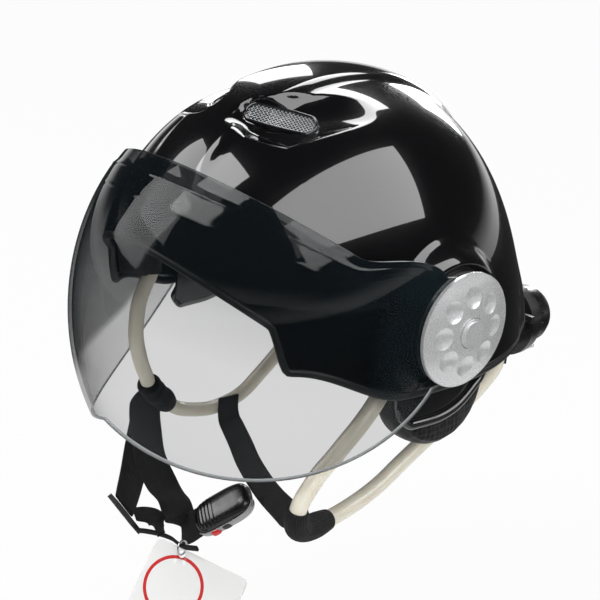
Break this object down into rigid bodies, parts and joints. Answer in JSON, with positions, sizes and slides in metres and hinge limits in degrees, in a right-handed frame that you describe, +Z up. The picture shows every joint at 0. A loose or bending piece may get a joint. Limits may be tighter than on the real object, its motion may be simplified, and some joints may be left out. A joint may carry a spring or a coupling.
{
  "type": "paramotor helmet",
  "caption": "Open-face flying helmet: glossy shell, hinged smoke visor with round side knobs, rear fit dial, ear cushions, cream side tubes, chin strap with buckle and a hang tag.",
  "frame": {"origin": "middle of the visor's hinge axis, between the two side knobs, where the wearer's head sits", "axes": "+Z up, the face looks along -Y, +X is the wearer's left"},
  "size_m": [0.2442, 0.3622, 0.374],
  "materials": {
    "shell_black": "high gloss lacquer",
    "trim_rubber": "satin",
    "liner_foam": "dense foam with a dark skin",
    "pad_cloth": "knitted spacer fabric",
    "vent_mesh": "woven wire",
    "visor_smoke": "tinted clear sheet",
    "fitting_black": "moulded",
    "dial_black": "glossy moulded",
    "ear_shell_grey": "glossy dark grey",
    "cushion_leather": "smooth leatherette",
    "knob_silver": "fine metallic lacquer",
    "steel": "machined",
    "brass": "turned",
    "lug_pale": "satin",
    "tube_cream": "smooth",
    "webbing": "woven",
    "buckle_black": "glossy moulded",
    "buckle_silver": "bright satin",
    "button_red": "glossy",
    "tag_card": "laminated sheet"
  },
  "bodies": {
    "helmet": {"outer_shell": "shell_black", "edge_trim": "trim_rubber", "foam_liner": "liner_foam", "vent_bezel_left": "shell_black", "vent_bezel_right": "shell_black", "vent_mesh_left": "vent_mesh", "vent_mesh_right": "vent_mesh", "brow_pad": "pad_cloth", "crown_pad": "pad_cloth", "nape_pad": "pad_cloth", "side_pad_left": "pad_cloth", "side_pad_right": "pad_cloth", "seat_ring_left": "fitting_black", "seat_ring_right": "fitting_black", "insert_nut_left": "brass", "insert_nut_right": "brass", "hinge_stud_left": "steel", "hinge_stud_right": "steel", "cradle_band": "fitting_black", "cradle_hangers": "fitting_black", "dial_housing": "dial_black", "dial_collar": "dial_black", "dial_lug": "lug_pale", "ear_shell_left": "ear_shell_grey", "ear_shell_right": "ear_shell_grey", "ear_track_left": "fitting_black", "ear_track_right": "fitting_black", "tube_left": "tube_cream", "tube_right": "tube_cream", "tube_clips": "fitting_black", "tube_sleeve": "webbing", "tube_wrap": "webbing", "chin_strap": "webbing", "strap_second": "webbing", "strap_slider": "fitting_black", "strap_loops": "webbing", "cross_strap": "webbing", "buckle_housing": "buckle_black", "buckle_cover": "buckle_silver", "tag_ring": "steel"},
    "visor_body": {"visor": "visor_smoke", "visor_bush_left": "steel", "visor_bush_right": "steel"},
    "knob_left": {"side_knob_left": "knob_silver", "knob_cap_left": "knob_silver"},
    "knob_right": {"side_knob_right": "knob_silver", "knob_cap_right": "knob_silver"},
    "dial": {"dial_knob": "dial_black", "dial_spindle": "steel", "dial_screw": "steel"},
    "adjuster_left": {"rack_left": "fitting_black"},
    "adjuster_right": {"rack_right": "fitting_black"},
    "ear_piece_left": {"ear_plate_left": "fitting_black", "ear_cushion_left": "cushion_leather", "ear_cloth_left": "pad_cloth"},
    "ear_piece_right": {"ear_plate_right": "fitting_black", "ear_cushion_right": "cushion_leather", "ear_cloth_right": "pad_cloth"},
    "button": {"release_button": "button_red"},
    "tag": {"hang_tag": "tag_card"}
  },
  "joints": [
    {"name": "visor_hinge", "type": "hinge", "parent": "helmet", "child": "visor_body", "pos_m": [0, 0, 0], "axis": [-1, 0, 0], "range_deg": [0, 55]},
    {"name": "knob_left_turn", "type": "hinge", "parent": "helmet", "child": "knob_left", "pos_m": [0.116, 0, 0], "axis": [1, 0, 0], "range_deg": [0, 180]},
    {"name": "knob_right_turn", "type": "hinge", "parent": "helmet", "child": "knob_right", "pos_m": [-0.116, 0, 0], "axis": [-1, 0, 0], "range_deg": [0, 180]},
    {"name": "dial_turn", "type": "hinge", "parent": "helmet", "child": "dial", "pos_m": [0, 0.19, -0.068], "axis": [0, 1, 0], "range_deg": [0, 70]},
    {"name": "rack_left_slide", "type": "slide", "parent": "helmet", "child": "adjuster_left", "axis": [1, 0, 0], "range_m": [0, 0.01]},
    {"name": "rack_right_slide", "type": "slide", "parent": "helmet", "child": "adjuster_right", "axis": [-1, 0, 0], "range_m": [0, 0.01]},
    {"name": "ear_left_height", "type": "slide", "parent": "helmet", "child": "ear_piece_left", "axis": [-0.1045, 0, 0.9945], "range_m": [0, 0.042]},
    {"name": "ear_right_height", "type": "slide", "parent": "helmet", "child": "ear_piece_right", "axis": [-0.1045, 0, -0.9945], "range_m": [0, 0.042]},
    {"name": "button_press", "type": "slide", "parent": "helmet", "child": "button", "axis": [-0.8001, 0.398, 0.4489], "range_m": [0, 0.0025], "stiffness_N_per_m": 400},
    {"name": "tag_swing", "type": "hinge", "parent": "helmet", "child": "tag", "pos_m": [-0.018, -0.079, -0.1766], "axis": [-0.8221, -0.5113, 0.2506], "range_deg": [-32, 0]}
  ],
  "couplings": [
    {"joint": "rack_left_slide", "follows": "dial_turn", "m_per_rad": 0.008},
    {"joint": "rack_right_slide", "follows": "dial_turn", "m_per_rad": 0.008}
  ]
}
